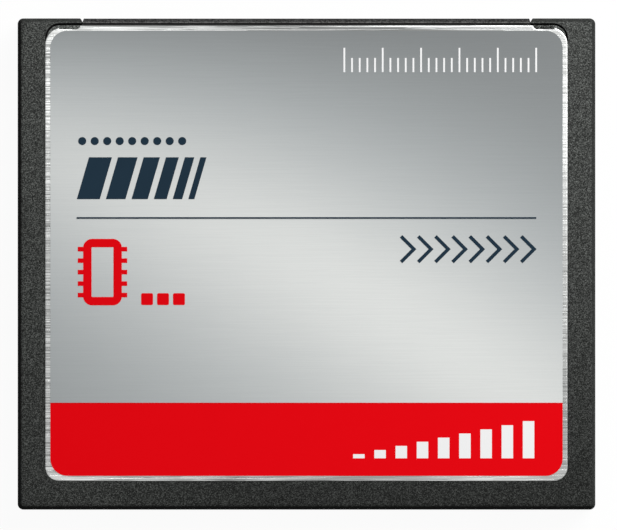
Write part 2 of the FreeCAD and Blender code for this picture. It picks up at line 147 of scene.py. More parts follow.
@dataclass
class Solid:
    """Vertices and faces of one mesh, gathered surface by surface."""

    points: list[np.ndarray] = field(default_factory=list)
    faces: list[np.ndarray] = field(default_factory=list)
    count: int = 0

    def add(self, points: np.ndarray, *faces: np.ndarray) -> None:
        """Add one surface, in millimetres.

        Args:
            points: Vertices as rows of X, Y, Z.
            faces: Arrays of faces that number these vertices from zero.
        """
        self.points.append(points)
        self.faces.extend(block + self.count for block in faces)
        self.count += len(points)

    def add_loft(self, rings: np.ndarray) -> None:
        """Add the surface through closed rings, shut by one face at each end.

        Args:
            rings: Array of rings by points by X, Y, Z.
        """
        rows, points, _ = rings.shape
        first = np.arange(points)[None, :]
        last = first + (rows - 1) * points
        self.add(rings.reshape(-1, 3), band_quads(rows, points), first, last)

    def mesh(self, name: str) -> bpy.types.Mesh:
        """Make the gathered surfaces one mesh, doubles merged and faces turned outwards.

        Args:
            name: Name of the mesh.

        Returns:
            The mesh, in metres.
        """
        made = bpy.data.meshes.new(name)
        faces = [row for block in self.faces for row in block.tolist()]
        made.from_pydata((np.concatenate(self.points) * MM).tolist(), [], faces)
        work = bmesh.new()
        work.from_mesh(made)
        bmesh.ops.remove_doubles(work, verts=work.verts, dist=WELD)
        bmesh.ops.recalc_face_normals(work, faces=work.faces)
        work.to_mesh(made)
        work.free()
        return made

    def piece(self, name: str, slot: Slot, sharp_angle: float = 0.0) -> bpy.types.Object:
        """Make the gathered surfaces one finished object that rides with the card.

        Args:
            name: Name of the piece.
            slot: Record slot that the piece takes its finish from.
            sharp_angle: Angle in degrees past which an edge is sharp on a smooth
                piece. Without it the faces are flat.

        Returns:
            The new object, at the origin.
        """
        mesh = self.mesh(name)
        if sharp_angle:
            mesh.shade_smooth()
            mesh.set_sharp_from_angle(angle=math.radians(sharp_angle))
        else:
            mesh.shade_flat()
        made = add_object(name, mesh)
        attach(made, BODY)
        paint(made, FINISHES[slot])
        log.info("%s: %d faces", name, len(mesh.polygons))
        return made


# Outlines and the profiles carried along them


def arc(
    cx: float, cy: float, radius: float, start: float, end: float, steps: int = 9
) -> np.ndarray:
    """Return points on an arc: the centre plus the radius turned from start to end.

    Args:
        cx: X of the centre.
        cy: Y of the centre.
        radius: Radius of the arc.
        start: First angle in degrees.
        end: Last angle in degrees.
        steps: Number of points.

    Returns:
        Points as rows of X, Y.
    """
    angle = np.radians(np.linspace(start, end, steps))
    return np.stack([cx + radius * np.cos(angle), cy + radius * np.sin(angle)], axis=-1)


def rounded_rectangle(
    cx: float, cy: float, half_x: float, half_y: float, radius: float
) -> np.ndarray:
    """Return a rectangle's outline with a quarter arc at each corner, anticlockwise.

    Args:
        cx: X of the centre.
        cy: Y of the centre.
        half_x: Half the width.
        half_y: Half the height.
        radius: Radius of the corners.

    Returns:
        Points as rows of X, Y.
    """
    x, y = half_x - radius, half_y - radius
    corners = ((x, -y, -90), (x, y, 0), (-x, y, 90), (-x, -y, 180))
    return np.concatenate(
        [arc(cx + dx, cy + dy, radius, turn, turn + 90) for dx, dy, turn in corners]
    )


def inset(outline: np.ndarray, distance: float) -> np.ndarray:
    """Move a closed anticlockwise outline inwards.

    Each point moves against the mitre of its two edge normals, which is their sum
    over one plus their dot product, so both edges move by the same distance.

    Args:
        outline: Points as rows of X, Y.
        distance: How far each edge moves.

    Returns:
        The moved points.
    """
    edge = np.roll(outline, -1, axis=0) - outline
    edge /= np.linalg.norm(edge, axis=1, keepdims=True)
    normal = np.stack([edge[:, 1], -edge[:, 0]], axis=-1)
    before = np.roll(normal, 1, axis=0)
    dot = (normal * before).sum(axis=1, keepdims=True)
    mitre = (normal + before) / (1 + dot)
    return outline - mitre * distance


def at_height(outline: np.ndarray, z: np.ndarray | float) -> np.ndarray:
    """Lift an outline's points to one height, or each to its own."""
    return np.column_stack([outline, np.broadcast_to(z, len(outline))])


def add_plaque(solid: Solid, outline: np.ndarray, z0: float, z1: float) -> None:
    """Add a flat plate: its outline at two heights.

    Args:
        solid: Where the plate goes.
        outline: Points as rows of X, Y.
        z0: Lower height.
        z1: Upper height.
    """
    solid.add_loft(np.stack([at_height(outline, z0), at_height(outline, z1)]))


def add_stroke(
    solid: Solid, path: np.ndarray, width: float, z0: float, z1: float, closed: bool = False
) -> None:
    """Add a flat stroke: a rectangle carried along a path with mitred corners.

    Each path point moves to both sides by half the width along the mitre of its two
    edges, at both heights.

    Args:
        solid: Where the stroke goes.
        path: Points as rows of X, Y.
        width: Width across the path.
        z0: Lower height.
        z1: Upper height.
        closed: True if the path's end joins its start.
    """
    edge = np.roll(path, -1, axis=0) - path
    if not closed:
        edge[-1] = edge[-2]
    edge = edge / np.linalg.norm(edge, axis=1, keepdims=True)
    normal = np.stack([edge[:, 1], -edge[:, 0]], axis=-1)
    before = np.roll(normal, 1, axis=0)
    if not closed:
        before[0] = normal[0]
    dot = (normal * before).sum(axis=1, keepdims=True)
    side = (normal + before) / (1 + dot) * width / 2
    left, right = path - side, path + side
    around = ((left, z0), (right, z0), (right, z1), (left, z1))
    rings = np.stack([at_height(points, z) for points, z in around], axis=1)
    faces = [band_quads(len(path), 4, closed)]
    if not closed:
        last = 4 * (len(path) - 1)
        faces.append(np.array([[0, 1, 2, 3], [last, last + 1, last + 2, last + 3]]))
    solid.add(rings.reshape(-1, 3), *faces)


# Shader graphs


def opaque(colour: Colour) -> tuple[float, ...]:
    """Return a colour with full alpha."""
    return (*colour, 1.0)


def metres(lengths: Pair) -> Pair:
    """Return two lengths in metres."""
    return lengths[0] * MM, lengths[1] * MM


class Graph:
    """A node tree with short calls to add, set and join its nodes."""

    def __init__(self, tree: bpy.types.NodeTree) -> None:
        """Keep the tree that the calls work on."""
        self.tree = tree

    def add(self, kind: str, **settings: object) -> bpy.types.Node:
        """Add a node and set its properties.

        Args:
            kind: Node type without the leading ShaderNode.
            settings: Properties by name.

        Returns:
            The new node.
        """
        node = self.tree.nodes.new("ShaderNode" + kind)
        for name, value in settings.items():
            setattr(node, name, value)
        return node

    def join(self, source: Socket, target: Socket) -> None:
        """Link an output to an input."""
        self.tree.links.new(source, target)

    def feed(self, target: Socket, value: Value) -> None:
        """Give an input its value, by a link if that is an output.

        Args:
            target: The input.
            value: A number, a colour or an output.
        """
        if isinstance(value, Socket):
            self.join(value, target)
        else:
            target.default_value = value

    def math(
        self, operation: str, first: Value, second: Value = 0.0, clamp: bool = False
    ) -> Socket:
        """Return the result of a Math node.

        Args:
            operation: Name of the operation.
            first: First number or output.
            second: Second number or output.
            clamp: True to keep the result from 0 to 1.

        Returns:
            The node's output.
        """
        node = self.add("Math", operation=operation, use_clamp=clamp)
        self.feed(node.inputs[0], first)
        self.feed(node.inputs[1], second)
        return node.outputs[0]

    def plus(self, first: Value, second: Value) -> Socket:
        """Return the sum of two values."""
        return self.math("ADD", first, second)

    def minus(self, first: Value, second: Value) -> Socket:
        """Return the first value less the second."""
        return self.math("SUBTRACT", first, second)

    def times(self, first: Value, second: Value) -> Socket:
        """Return the product of two values."""
        return self.math("MULTIPLY", first, second)

    def shared(self, first: Value, second: Value, share: float) -> Socket:
        """Return two values added, the first by its share and the second by the rest."""
        return self.plus(self.times(first, share), self.times(second, 1.0 - share))

    def spread(self, value: Value, contrast: Value) -> Socket:
        """Return a value spread about one half by a contrast, and held from 0 to 1."""
        return self.math("ADD", self.times(self.minus(value, 0.5), contrast), 0.5, clamp=True)

    def ramp(
        self, value: Value, low: float, high: float, to_low: float = 0.0, to_high: float = 1.0
    ) -> Socket:
        """Take a value smoothly from one range to another, and hold it at the ends.

        Args:
            value: Value to take.
            low: Start of its range.
            high: End of its range.
            to_low: Result at the start.
            to_high: Result at the end.

        Returns:
            The node's output.
        """
        node = self.add("MapRange", interpolation_type="SMOOTHSTEP")
        for socket, number in zip(node.inputs[:5], (value, low, high, to_low, to_high)):
            self.feed(socket, number)
        return node.outputs[0]

    def mix(self, factor: Value, first: Value, second: Value) -> Socket:
        """Return two colours mixed by a factor.

        Args:
            factor: Share of the second colour.
            first: First colour or output.
            second: Second colour or output.

        Returns:
            The mixed colour.
        """
        node = self.add("Mix", data_type="RGBA")
        self.feed(node.inputs[0], factor)
        self.feed(node.inputs[6], first)
        self.feed(node.inputs[7], second)
        return node.outputs[2]

    def shaded(self, colour: Value, factor: Value) -> Socket:
        """Return a colour times a factor that changes over the surface.

        Args:
            colour: Colour or output.
            factor: The factor.

        Returns:
            The scaled colour.
        """
        node = self.add("VectorMath", operation="SCALE")
        self.feed(node.inputs[0], colour)
        self.feed(node.inputs["Scale"], factor)
        return node.outputs[0]

    def scaled(self, vector: Socket, scale: Triple, turn: float = 0.0) -> Socket:
        """Return coordinates turned about Z and then scaled, by Mapping nodes.

        Args:
            vector: Coordinates in metres.
            scale: Scale along each turned axis.
            turn: Turn in degrees.

        Returns:
            The mapped coordinates.
        """
        turned = self.add("Mapping", vector_type="POINT")
        self.join(vector, turned.inputs["Vector"])
        turned.inputs["Rotation"].default_value = (0.0, 0.0, math.radians(turn))
        sized = self.add("Mapping", vector_type="POINT")
        self.join(turned.outputs[0], sized.inputs["Vector"])
        sized.inputs["Scale"].default_value = scale
        return sized.outputs[0]

    def noise(self, vector: Socket, scale: Value, detail: float = 1.0) -> Socket:
        """Return a Noise Texture's value.

        Args:
            vector: Coordinates for the noise.
            scale: Scale of the noise.
            detail: Number of finer layers.

        Returns:
            The node's value.
        """
        node = self.add("TexNoise")
        self.join(vector, node.inputs["Vector"])
        self.feed(node.inputs["Scale"], scale)
        node.inputs["Detail"].default_value = detail
        return node.outputs[0]

    def cells(self, vector: Socket, scale: Value) -> Socket:
        """Return a Voronoi Texture's random number for each cell, from 0 to 1.

        Args:
            vector: Coordinates for the cells.
            scale: Scale of the cells.

        Returns:
            The cell's number.
        """
        node = self.add("TexVoronoi")
        self.join(vector, node.inputs["Vector"])
        self.feed(node.inputs["Scale"], scale)
        return self.split(node.outputs["Color"])[0]

    def split(self, vector: Socket) -> tuple[Socket, ...]:
        """Return the X, Y and Z parts of a vector.

        Args:
            vector: The vector.

        Returns:
            Its three parts.
        """
        node = self.add("SeparateXYZ")
        self.join(vector, node.inputs[0])
        return tuple(node.outputs)

    def place(self) -> Socket:
        """Return the piece's own Object coordinates."""
        return self.add("TexCoord").outputs["Object"]

    def normal(self) -> Socket:
        """Return the face's normal."""
        return self.add("NewGeometry").outputs["Normal"]


class Effect:
    """A shader node group shared by several finishes, built when first asked for."""

    name: str = ""
    inputs: tuple[tuple[str, float], ...] = ()
    outputs: tuple[str, ...] = ()

    def tree(self) -> bpy.types.NodeTree:
        """Make the group's tree, once.

        Returns:
            The tree.
        """
        made = bpy.data.node_groups.get(self.name)
        if made:
            return made
        made = bpy.data.node_groups.new(self.name, "ShaderNodeTree")
        made.interface.new_socket("Vector", in_out="INPUT", socket_type="NodeSocketVector")
        for name, value in self.inputs:
            socket = made.interface.new_socket(
                name, in_out="INPUT", socket_type="NodeSocketFloat"
            )
            socket.default_value = value
        for name in self.outputs:
            made.interface.new_socket(name, in_out="OUTPUT", socket_type="NodeSocketFloat")
        graph = Graph(made)
        given = made.nodes.new("NodeGroupInput").outputs
        result = made.nodes.new("NodeGroupOutput").inputs
        for name, value in zip(self.outputs, self.pattern(graph, given)):
            graph.join(value, result[name])
        return made

    def pattern(self, graph: Graph, given: bpy.types.NodeOutputs) -> tuple[Socket, ...]:
        """Return the value of each output; each effect has its own way."""
        raise NotImplementedError

    def use(self, graph: Graph, vector: Socket, **values: Value) -> bpy.types.NodeOutputs:
        """Place the group in a material.

        Args:
            graph: The material's graph.
            vector: Coordinates for the effect.
            values: Values of its named inputs, in small letters.

        Returns:
            The group's outputs.
        """
        node = graph.add("Group")
        node.node_tree = self.tree()
        graph.join(vector, node.inputs["Vector"])
        for name, value in values.items():
            graph.feed(node.inputs[name.capitalize()], value)
        return node.outputs


class SparkTexture(Effect):
    """The pitted grain that a spark-cut mould leaves on plastic.

    Each cell of a Voronoi pattern has a random tone. A noise of small clusters is
    added, and the sum is spread about its middle. The height is a noise as fine as
    the cells.
    """

    name = "spark_texture"
    inputs = (("Grain", 12000.0), ("Contrast", 1.0))
    outputs = ("Tone", "Height")
    cell_share = 0.75
    cluster_scale = 0.30

    def pattern(self, graph: Graph, given: bpy.types.NodeOutputs) -> tuple[Socket, ...]:
        """Join grains and clusters.

        Args:
            graph: The group's graph.
            given: The group's inputs.

        Returns:
            Tone from 0 to 1, and height.
        """
        grains = graph.cells(given["Vector"], given["Grain"])
        clusters = graph.noise(given["Vector"], graph.times(given["Grain"], self.cluster_scale))
        both = graph.shared(grains, clusters, self.cell_share)
        height = graph.noise(given["Vector"], given["Grain"])
        return graph.spread(both, given["Contrast"]), height


class BrushedLines(Effect):
    """The fine straight scratches of brushed metal, along X.

    The cells of a Voronoi pattern are stretched along X to long thin scratches, and
    each has a random tone. A stretched noise makes bundles of them brighter.
    """

    name = "brushed_lines"
    inputs = (("Contrast", 1.6),)
    outputs = ("Tone", "Height")
    scratch_scale: Triple = (300.0, 25000.0, 900.0)
    bundle_scale: Triple = (120.0, 2600.0, 700.0)
    scratch_share = 0.85

    def pattern(self, graph: Graph, given: bpy.types.NodeOutputs) -> tuple[Socket, ...]:
        """Join scratches and bundles.

        Args:
            graph: The group's graph.
            given: The group's inputs.

        Returns:
            Tone from 0 to 1, and height.
        """
        fine = graph.cells(graph.scaled(given["Vector"], self.scratch_scale), 1.0)
        wide = graph.noise(graph.scaled(given["Vector"], self.bundle_scale), 1.0)
        both = graph.shared(fine, wide, self.scratch_share)
        return graph.spread(both, given["Contrast"]), both


class CloudyTone(Effect):
    """A slow, faint change of tone over a surface, from one soft noise."""

    name = "cloudy_tone"
    inputs = (("Size", 120.0), ("Amount", 0.1))
    outputs = ("Factor",)

    def pattern(self, graph: Graph, given: bpy.types.NodeOutputs) -> tuple[Socket, ...]:
        """Return a factor about 1: one plus the amount times the centred noise."""
        soft = graph.minus(graph.noise(given["Vector"], given["Size"], detail=2.0), 0.5)
        return (graph.plus(graph.times(soft, given["Amount"]), 1.0),)


# Finishes


@dataclass(frozen=True, kw_only=True)
class Finish:
    """What every finish has, and the way to a material.

    The roughness goes from its first value to its second as the grain's tone rises.
    The bump's depth is in millimetres.
    """

    name: str
    roughness: Pair
    depth: float
    metallic: float = 0.0
    gloss: float = 0.5

    def material(self) -> bpy.types.Material:
        """Make the finish's material, once.

        Returns:
            The material.
        """
        title = f"{self.name}_finish"
        made = bpy.data.materials.get(title)
        if made:
            return made
        made = bpy.data.materials.new(title)
        made.use_nodes = True
        graph = Graph(made.node_tree)
        colour, tone, height = self.pattern(graph, graph.place())
        shader = made.node_tree.nodes["Principled BSDF"].inputs
        graph.join(colour, shader["Base Color"])
        graph.join(graph.ramp(tone, 0.0, 1.0, *self.roughness), shader["Roughness"])
        shader["Metallic"].default_value = self.metallic
        shader["Specular IOR Level"].default_value = self.gloss
        bump = graph.add("Bump")
        bump.inputs["Distance"].default_value = self.depth * MM
        bump.inputs["Strength"].default_value = 1.0
        graph.join(height, bump.inputs["Height"])
        graph.join(bump.outputs[0], shader["Normal"])
        return made

    def pattern(self, graph: Graph, place: Socket) -> Pattern:
        """Return colour, tone and height; each finish has its own way."""
        raise NotImplementedError


@dataclass(frozen=True, kw_only=True)
class MouldedPlastic(Finish):
    """Dark plastic: grained on level faces and walls, plainer and deeper round its edges.

    A face's part of the normal along Z tells level faces and walls from the rounded
    edges between them, whose darker tone is partly the smoother plastic and partly
    painted shade. Its way from the card's middle height tells open faces and the
    narrow ledges just below the rim from the sunk ones, which get painted shade.
    Pairs are the start and end of a soft change, and lengths are in millimetres.
    """

    flat: Colour
    # Colour of the round edges, darker than the flat: partly the smoother plastic, partly painted
    # shade.
    edge: Colour
    roughness: Pair = (0.62, 0.50)
    depth: float = 0.005
    gloss: float = 0.02
    grain: float = 20000.0
    contrast: float = 1.3
    swing: float = 0.66
    # Painted light falloff: how fast the tone rises towards the front, its share at the left, and
    # the width of that change.
    light_falloff: float = 0.025
    left_light_falloff: float = 1.0
    light_falloff_width: float = 20.0
    # Painted highlight: a pale line along X at this Y, its half width and its colour.
    highlight_line_y: float = 0.0
    highlight_line_half: float = 0.07
    highlight_line_colour: Colour = (0.22, 0.22, 0.21)
    # Painted shade: the dark tone of sunk faces below the rim.
    recess_shade: float = 0.018
    ledge: float = 0.7
    middle: float = 1.65
    level_from: Pair = (0.87, 0.998)
    wall_until: Pair = (0.08, 0.30)
    open_from: Pair = (1.32, 1.38)
    ledge_until: Pair = (1.42, 1.46)
    speck_power: float = 2.8
    speck_gain: float = 3.8
    speck_full: float = 0.7
    # Painted light and shade on the round edges, by how far they face the upper right.
    edge_light_by_side: Pair = (0.45, 1.8)
    edge_by_specks: Pair = (0.7, 1.5)
    edge_bump: float = 0.25

    def pattern(self, graph: Graph, place: Socket) -> Pattern:
        """Grain the level faces and walls, and give the round edges between them their tone.

        The tone rises towards the front, and less so at the left: painted light falloff.
        Edges that face the upper right are paler: painted light and shade by side. Sunk
        faces are dark with painted shade, and the narrow ledges are paler by a share. A
        painted highlight may run along X as a pale line.

        Args:
            graph: The material's graph.
            place: Object coordinates in metres.

        Returns:
            Colour, tone and height.
        """
        spark = SparkTexture().use(graph, place, grain=self.grain, contrast=self.contrast)
        cloud = CloudyTone().use(graph, place, size=150.0, amount=0.25)
        normal_x, normal_y, normal_z = graph.split(graph.normal())
        upright = graph.math("ABSOLUTE", normal_z)
        level = graph.ramp(upright, *self.level_from)
        plain = graph.math("MAXIMUM", level, graph.ramp(upright, *self.wall_until, 1.0, 0.0))
        x, y, z = graph.split(place)
        away = graph.math("ABSOLUTE", graph.minus(z, self.middle * MM))
        is_open = graph.ramp(away, *metres(self.open_from))
        on_ledge = graph.times(is_open, graph.ramp(away, *metres(self.ledge_until), 1.0, 0.0))
        on_ledge = graph.times(on_ledge, level)

        specks = graph.math("POWER", spark["Tone"], self.speck_power)
        tone = graph.plus(graph.times(specks, self.speck_gain * self.swing), 1.0 - self.swing)
        tone = graph.times(tone, cloud["Factor"])
        # Painted light falloff: the tone rises towards the front, where the lamp is, and less so
        # at the left.
        falloff_ahead = graph.times(y, self.light_falloff / MM)
        share = graph.ramp(x, -self.light_falloff_width * MM, 0.0, self.left_light_falloff, 1.0)
        tone = graph.times(tone, graph.plus(graph.times(falloff_ahead, share), 1.0))
        paler = graph.plus(graph.times(on_ledge, self.ledge), 1.0)
        grained = graph.shaded(self.flat, graph.times(tone, paler))
        # Painted highlight: a pale line along X, speckled by the grain.
        if self.highlight_line_y:
            off = graph.math("ABSOLUTE", graph.minus(y, self.highlight_line_y * MM))
            highlight_mask = graph.ramp(off, 0.0, self.highlight_line_half * MM, 1.0, 0.0)
            highlight_mask = graph.times(highlight_mask, spark["Tone"])
            grained = graph.mix(highlight_mask, grained, opaque(self.highlight_line_colour))

        # Painted light and shade: round edges facing the upper right, towards the lamp, are paler
        # and the others darker.
        side = graph.ramp(graph.plus(normal_x, normal_y), -1.0, 1.0, *self.edge_light_by_side)
        by_specks = graph.ramp(specks, 0.0, self.speck_full, *self.edge_by_specks)
        edge_tone = graph.times(side, by_specks)
        colour = graph.mix(plain, graph.shaded(self.edge, edge_tone), grained)
        # Painted shade in the recesses: sunk level faces take a dark painted tone.
        below = graph.times(graph.minus(1.0, is_open), level)
        colour = graph.mix(below, colour, opaque((self.recess_shade, self.recess_shade, self.recess_shade)))
        height = graph.times(spark["Height"], graph.ramp(plain, 0.0, 1.0, self.edge_bump, 1.0))
        return colour, spark["Tone"], height


@dataclass(frozen=True, kw_only=True)
class BrushedSteel(Finish):
    """Stainless sheet brushed along X, with brighter and duller bundles of scratches.

    Each glint is a painted highlight, a soft bright spot: X, Y and width in
    millimetres, and its amount, which is negative for a spot of painted shade.
    """

    dull: Colour
    bright: Colour
    roughness: Pair = (0.38, 0.30)
    depth: float = 0.0035
    metallic: float = 1.0
    contrast: float = 1.7
    calm: float = 0.58
    calm_reach: float = 19.0
    # Painted shade on rounded edges: their share of the colour and where it starts.
    edge_shade_share: float = 0.62
    edge_shade_until: Pair = (0.60, 0.95)
    # Painted highlights and painted shade spots on the sheet.
    painted_glints: tuple[PaintedGlint, ...] = (
        (-17.5, 14.5, 8.0, 0.60),
        (18.9, 11.5, 6.5, 0.70),
        (0.0, 17.5, 8.0, -0.23),
        (-14.0, -16.5, 5.0, 0.27),
        (14.5, -16.8, 4.0, 0.38),
        (19.5, -11.5, 5.0, -0.28),
        (0.0, -16.0, 8.0, -0.15),
    )

    def painted_glint(self, graph: Graph, spot: tuple[Socket, ...], row: PaintedGlint) -> Socket:
        """Return a painted glint's value: e to the minus square of the way over its width,
        scaled.

        Args:
            graph: The material's graph.
            spot: Parts of the coordinates, in metres.
            row: The glint.

        Returns:
            The value at each place.
        """
        x, y, width, amount = row
        across = graph.minus(spot[0], x * MM)
        along = graph.minus(spot[1], y * MM)
        square = graph.plus(graph.times(across, across), graph.times(along, along))
        square = graph.times(square, -1.0 / (width * MM) ** 2)
        return graph.times(graph.math("POWER", math.e, square), amount)

    def pattern(self, graph: Graph, place: Socket) -> Pattern:
        """Mix the dull and bright tones by the scratches and add the painted glints;
        rounded edges are darker with painted shade.

        The scratches are plainest at the left and calmer by a share at the right.

        Args:
            graph: The material's graph.
            place: Object coordinates in metres.

        Returns:
            Colour, tone and height.
        """
        spot = graph.split(place)
        reach = self.calm_reach * MM
        contrast = graph.ramp(spot[0], -reach, reach, self.contrast, self.contrast * self.calm)
        lines = BrushedLines().use(graph, place, contrast=contrast)
        colour = graph.mix(lines["Tone"], opaque(self.dull), opaque(self.bright))
        # Painted light: the glints brighten or dull the colour spot by spot.
        glow = 1.0
        for row in self.painted_glints:
            glow = graph.plus(self.painted_glint(graph, spot, row), glow)
        # Painted shade: rounded edges, whose normal leaves Z, are darkened.
        level = graph.math("ABSOLUTE", graph.split(graph.normal())[2])
        glow = graph.times(glow, graph.ramp(level, *self.edge_shade_until, self.edge_shade_share, 1.0))
        return graph.shaded(colour, glow), lines["Tone"], lines["Height"]


@dataclass(frozen=True, kw_only=True)
class SatinFoil(Finish):
    """Silver foil whose sheen is a soft ridge of light set across it at an angle.

    The distance d is measured across the ridge from its crest, which bows with the
    square of the way s along it. With r the root of d squared plus the softness
    squared, (r + d) / 2 is the way above the crest and (r - d) / 2 the way below.
    The tone falls with each of them by a slope and a curve. All are in millimetres.
    """

    roughness: Pair = (0.32, 0.28)
    depth: float = 0.0006
    metallic: float = 0.35
    gloss: float = 0.3
    turn: float = 28.0
    bow: float = -0.004
    softness: float = 4.0
    crest: float = 0.9143
    along: Pair = (0.00208, -0.000134)
    above: Pair = (-0.05442, 0.00101)
    below: Pair = (-0.04771, 0.001084)
    twist: float = 0.000188
    dark_tint: Colour = (0.952, 1.013, 1.028)
    pale_tint: Colour = (1.014, 1.035, 1.011)
    pale_from: Pair = (0.30, 0.80)
    grain_tone: Pair = (0.98, 1.02)

    def curve(self, graph: Graph, way: Socket, terms: Pair) -> Socket:
        """Return a slope times the way, plus a curve times its square."""
        return graph.times(way, graph.plus(graph.times(way, terms[1]), terms[0]))

    def sheen(self, graph: Graph, place: Socket) -> Socket:
        """Return the ridge's tone.

        Args:
            graph: The material's graph.
            place: Coordinates in metres.

        Returns:
            The tone at each place.
        """
        s, across, _ = graph.split(graph.scaled(place, (1 / MM, 1 / MM, 1 / MM), self.turn))
        d = graph.minus(across, graph.times(graph.times(s, s), self.bow))
        r = graph.math("SQRT", graph.plus(graph.times(d, d), self.softness**2))
        over = graph.times(graph.plus(r, d), 0.5)
        under = graph.times(graph.minus(r, d), 0.5)
        tone = graph.plus(self.curve(graph, s, self.along), self.crest)
        tone = graph.plus(tone, self.curve(graph, over, self.above))
        tone = graph.plus(tone, self.curve(graph, under, self.below))
        return graph.plus(tone, graph.times(graph.times(over, s), self.twist))

    def pattern(self, graph: Graph, place: Socket) -> Pattern:
        """Lay a faint brushed grain and a faint cloud over the ridge's tone.

        Args:
            graph: The material's graph.
            place: Object coordinates in metres.

        Returns:
            Colour, tone and height.
        """
        cloud = CloudyTone().use(graph, place, size=260.0, amount=0.02)
        grain = BrushedLines().use(graph, place, contrast=1.0)
        tone = graph.times(self.sheen(graph, place), cloud["Factor"])
        tone = graph.times(tone, graph.ramp(grain["Tone"], 0.0, 1.0, *self.grain_tone))
        pale = graph.ramp(tone, *self.pale_from)
        tint = graph.mix(pale, opaque(self.dark_tint), opaque(self.pale_tint))
        return graph.shaded(tint, tone), grain["Tone"], grain["Height"]


@dataclass(frozen=True, kw_only=True)
class PrintInk(Finish):
    """A smooth printed ink, with the faint mottle of a thin printed coat.

    A rim, if any, is the Y in millimetres near which the coat gets darker.
    """

    colour: Colour
    mottle: float
    roughness: Pair = (0.50, 0.42)
    depth: float = 0.001
    gloss: float = 0.03
    rim: float = 0.0
    rim_reach: Pair = (-0.10, -0.06)
    rim_colour: Colour = (0.68, 0.002, 0.004)

    def pattern(self, graph: Graph, place: Socket) -> Pattern:
        """Give the ink's colour a faint mottle, and a darker rim if any.

        Args:
            graph: The material's graph.
            place: Object coordinates in metres.

        Returns:
            Colour, tone and height.
        """
        cloud = CloudyTone().use(graph, place, size=420.0, amount=self.mottle)
        colour = graph.shaded(self.colour, cloud["Factor"])
        if self.rim:
            start, end = self.rim_reach
            reach = metres((self.rim + start, self.rim + end))
            dark = graph.ramp(graph.split(place)[1], *reach)
            colour = graph.mix(dark, colour, opaque(self.rim_colour))
        grain = SparkTexture().use(graph, place, grain=12000.0, contrast=1.5)
        return colour, grain["Tone"], grain["Height"]


@dataclass(frozen=True, kw_only=True)
class PlatedMetal(Finish):
    """Plated or tinned metal with a slightly cloudy, grained skin."""

    colour: Colour
    depth: float = 0.003
    metallic: float = 1.0

    def pattern(self, graph: Graph, place: Socket) -> Pattern:
        """Give the metal a cloudy tone and a fine grain.

        Args:
            graph: The material's graph.
            place: Object coordinates in metres.

        Returns:
            Colour, tone and height.
        """
        cloud = CloudyTone().use(graph, place, size=1500.0, amount=0.3)
        grain = SparkTexture().use(graph, place, grain=20000.0, contrast=1.8)
        return graph.shaded(self.colour, cloud["Factor"]), grain["Tone"], grain["Height"]


@dataclass(frozen=True, kw_only=True)
class FiredGlaze(Finish):
    """Fired ceramic or a lacquered board: a base colour speckled with a second one."""

    colour: Colour
    speck: Colour
    roughness: Pair = (0.30, 0.45)
    depth: float = 0.004
    grain: float = 6000.0
    speck_from: Pair = (0.55, 0.95)

    def pattern(self, graph: Graph, place: Socket) -> Pattern:
        """Mix in the second colour where the grain rises.

        Args:
            graph: The material's graph.
            place: Object coordinates in metres.

        Returns:
            Colour, tone and height.
        """
        grain = SparkTexture().use(graph, place, grain=self.grain, contrast=3.0)
        factor = graph.ramp(grain["Tone"], *self.speck_from)
        colour = graph.mix(factor, opaque(self.colour), opaque(self.speck))
        return colour, grain["Tone"], grain["Height"]


FINISHES: dict[Slot, Finish] = {
    Slot(finish.name): finish
    for finish in (
        # Each plastic's edge colour is darker than its flat: partly the smoother plastic, partly
        # painted shade.
        MouldedPlastic(
            name="frame_plastic",
            flat=(0.055, 0.058, 0.055),
            edge=(0.019, 0.020, 0.019),
            left_light_falloff=0.5,
        ),
        MouldedPlastic(
            name="housing_plastic",
            flat=(0.034, 0.034, 0.034),
            edge=(0.026, 0.026, 0.026),
            # Painted highlight line near the housing's front.
            highlight_line_y=17.89,
            # Paler painted shade in the housing's recesses.
            recess_shade=0.09,
        ),
        MouldedPlastic(
            name="chip_resin",
            flat=(0.020, 0.020, 0.022),
            edge=(0.016, 0.016, 0.018),
            depth=0.004,
            swing=0.3,
            gloss=0.3,
            light_falloff=0.0,
        ),
        BrushedSteel(name="cover_steel", dull=(0.20, 0.205, 0.20), bright=(0.62, 0.63, 0.62)),
        SatinFoil(name="label_foil"),
        PrintInk(name="red_ink", colour=(0.80, 0.002, 0.006), mottle=0.02),
        PrintInk(name="white_ink", colour=(0.97, 0.97, 0.97), mottle=0.01),
        PrintInk(name="navy_ink", colour=(0.016, 0.034, 0.054), mottle=0.2),
        PlatedMetal(name="contact_metal", colour=(0.83, 0.61, 0.24), roughness=(0.32, 0.20)),
        PlatedMetal(name="tinned_metal", colour=(0.70, 0.70, 0.69), roughness=(0.47, 0.35)),
        FiredGlaze(name="board_laminate", colour=(0.012, 0.13, 0.055), speck=(0.02, 0.19, 0.08)),
        FiredGlaze(name="capacitor_ceramic", colour=(0.42, 0.30, 0.18), speck=(0.50, 0.38, 0.24)),
        FiredGlaze(name="resistor_ceramic", colour=(0.02, 0.02, 0.024), speck=(0.06, 0.06, 0.07)),
        FiredGlaze(
            name="insulating_film",
            colour=(0.60, 0.34, 0.05),
            speck=(0.66, 0.40, 0.08),
            roughness=(0.20, 0.35),
            grain=900.0,
        ),
    )
}

BAND_INK = PrintInk(name="band_ink", colour=(0.86, 0.002, 0.006), mottle=0.02, rim=-10.27)


def paint(piece: bpy.types.Object, finish: Finish) -> None:
    """Give a piece a finish, in place of what it had."""
    piece.data.materials.clear()
    piece.data.materials.append(finish.material())


def span(node: str) -> tuple[np.ndarray, np.ndarray]:
    """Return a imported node's lowest and highest corner in millimetres."""
    low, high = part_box(node)
    return np.array(low) / MM, np.array(high) / MM


# Pieces of the card


